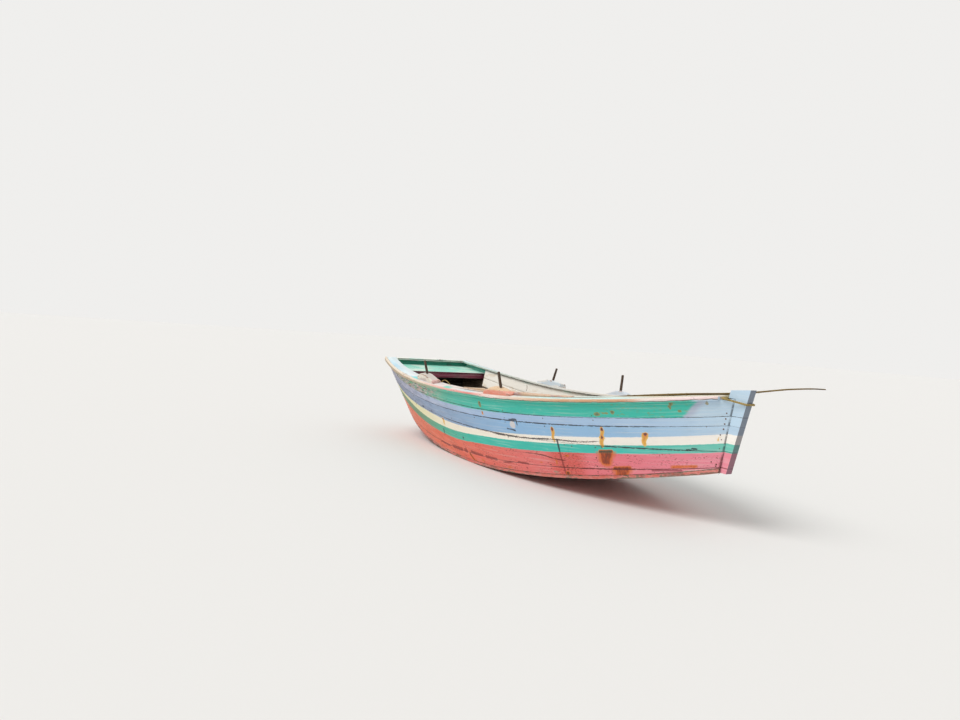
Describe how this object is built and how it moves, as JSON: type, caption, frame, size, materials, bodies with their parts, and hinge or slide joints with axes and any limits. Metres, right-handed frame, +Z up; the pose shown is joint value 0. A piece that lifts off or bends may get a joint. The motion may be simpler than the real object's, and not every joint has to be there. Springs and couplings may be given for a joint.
{
  "type": "rowing boat",
  "caption": "Planked wooden rowing boat with a flat bottom, raked transom, tall stem head, wide gunwale cap, thole pins, thwarts, stern deck and a thin pole lying over the bow.",
  "frame": {"origin": "on the ground under the middle of the whole, where the bottom's rocker touches at its lowest", "axes": "+X towards the stem, +Y to port, +Z up"},
  "size_m": [5.1064, 1.5088, 0.993],
  "materials": {
    "teal_paint": "worn oil paint",
    "light_blue_paint": "worn oil paint",
    "white_paint": "worn oil paint",
    "red_paint": "worn oil paint",
    "cap_paint": "worn oil paint",
    "rail_wood": "weathered, part painted",
    "mint_paint": "worn oil paint",
    "maroon_paint": "worn oil paint",
    "dark_teal_paint": "worn oil paint",
    "bare_wood": "weathered",
    "pad_paint": "worn oil paint",
    "dark_wood": "weathered, bare",
    "rope": "twisted, weathered"
  },
  "bodies": {
    "root": {"aft_thwart": "bare_wood", "bottom_boards": "red_paint", "breasthook": "cap_paint", "floor_timbers": "bare_wood", "forward_thwart": "bare_wood", "keelson": "bare_wood", "pole": "dark_wood", "port_aft_thole_pad": "pad_paint", "port_aft_thole_pin": "dark_wood", "port_chine_log": "bare_wood", "port_forward_thole_pad": "pad_paint", "port_forward_thole_pin": "dark_wood", "port_gunwale_cap": "cap_paint", "port_lining_boards": "white_paint", "port_rubbing_strake": "rail_wood", "port_side_timbers": "bare_wood", "port_strake_1": "teal_paint", "port_strake_2": "light_blue_paint", "port_strake_3": "white_paint", "port_strake_4": "red_paint", "port_strake_5": "red_paint", "port_thwart_riser": "bare_wood", "starboard_aft_thole_pad": "pad_paint", "starboard_aft_thole_pin": "dark_wood", "starboard_chine_log": "bare_wood", "starboard_forward_thole_pad": "pad_paint", "starboard_forward_thole_pin": "dark_wood", "starboard_gunwale_cap": "cap_paint", "starboard_lining_boards": "white_paint", "starboard_rubbing_strake": "rail_wood", "starboard_side_timbers": "bare_wood", "starboard_strake_1": "teal_paint", "starboard_strake_2": "light_blue_paint", "starboard_strake_3": "white_paint", "starboard_strake_4": "red_paint", "starboard_strake_5": "red_paint", "starboard_thwart_riser": "bare_wood", "stem": "rail_wood", "stem_rope": "rope", "stern_deck": "mint_paint", "stern_deck_beam": "maroon_paint", "transom": "dark_teal_paint", "transom_cap": "cap_paint"}
  },
  "joints": []
}
